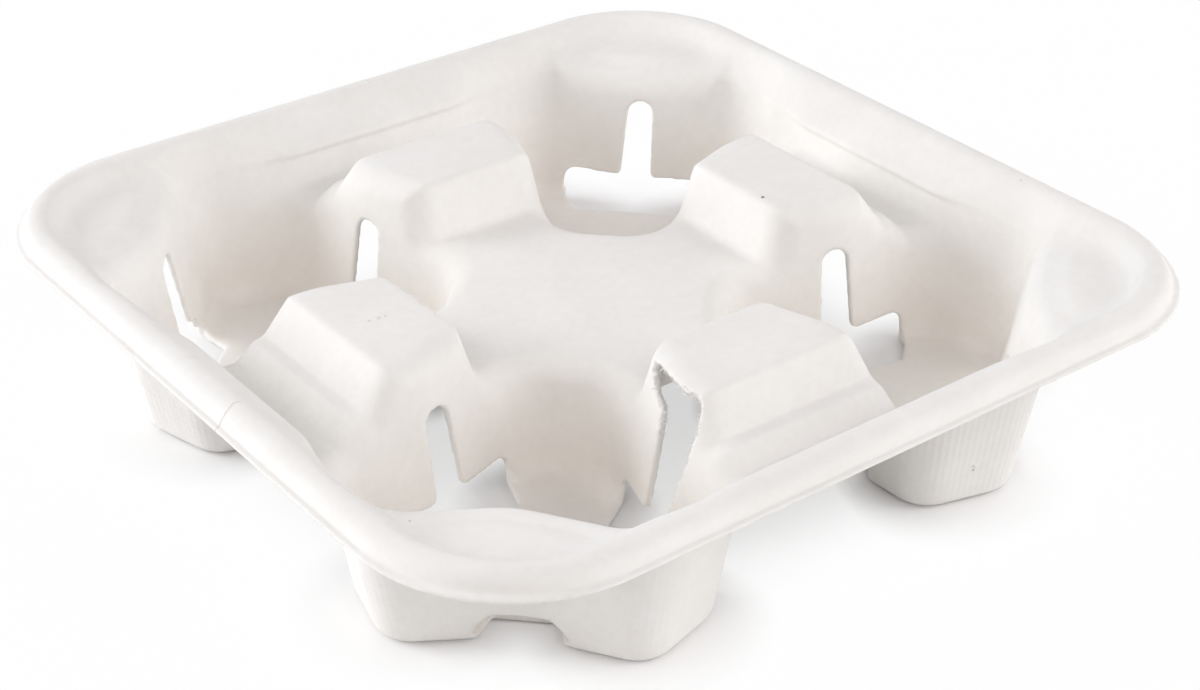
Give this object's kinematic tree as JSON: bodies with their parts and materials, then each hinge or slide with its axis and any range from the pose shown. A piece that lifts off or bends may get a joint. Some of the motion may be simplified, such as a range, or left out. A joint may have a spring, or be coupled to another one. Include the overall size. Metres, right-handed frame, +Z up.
{
  "type": "moulded pulp cup carrier tray",
  "caption": "Square one-piece tray of moulded paper pulp that carries hot drinks in slotted three-lobed cup wells between stepped humps, inside a rolled rim.",
  "frame": {"origin": "centre of the tray's footprint, on the plane that the feet rest on", "axes": "+Z up through the rim; X and Y along the two pairs of sides, the torn slot beside the -Y side and nearer its -X end"},
  "size_m": [0.215, 0.215, 0.045],
  "materials": {
    "pulp": "matte, slightly fibrous white paper pulp"
  },
  "bodies": {
    "root": {"tray": "pulp"}
  },
  "joints": []
}
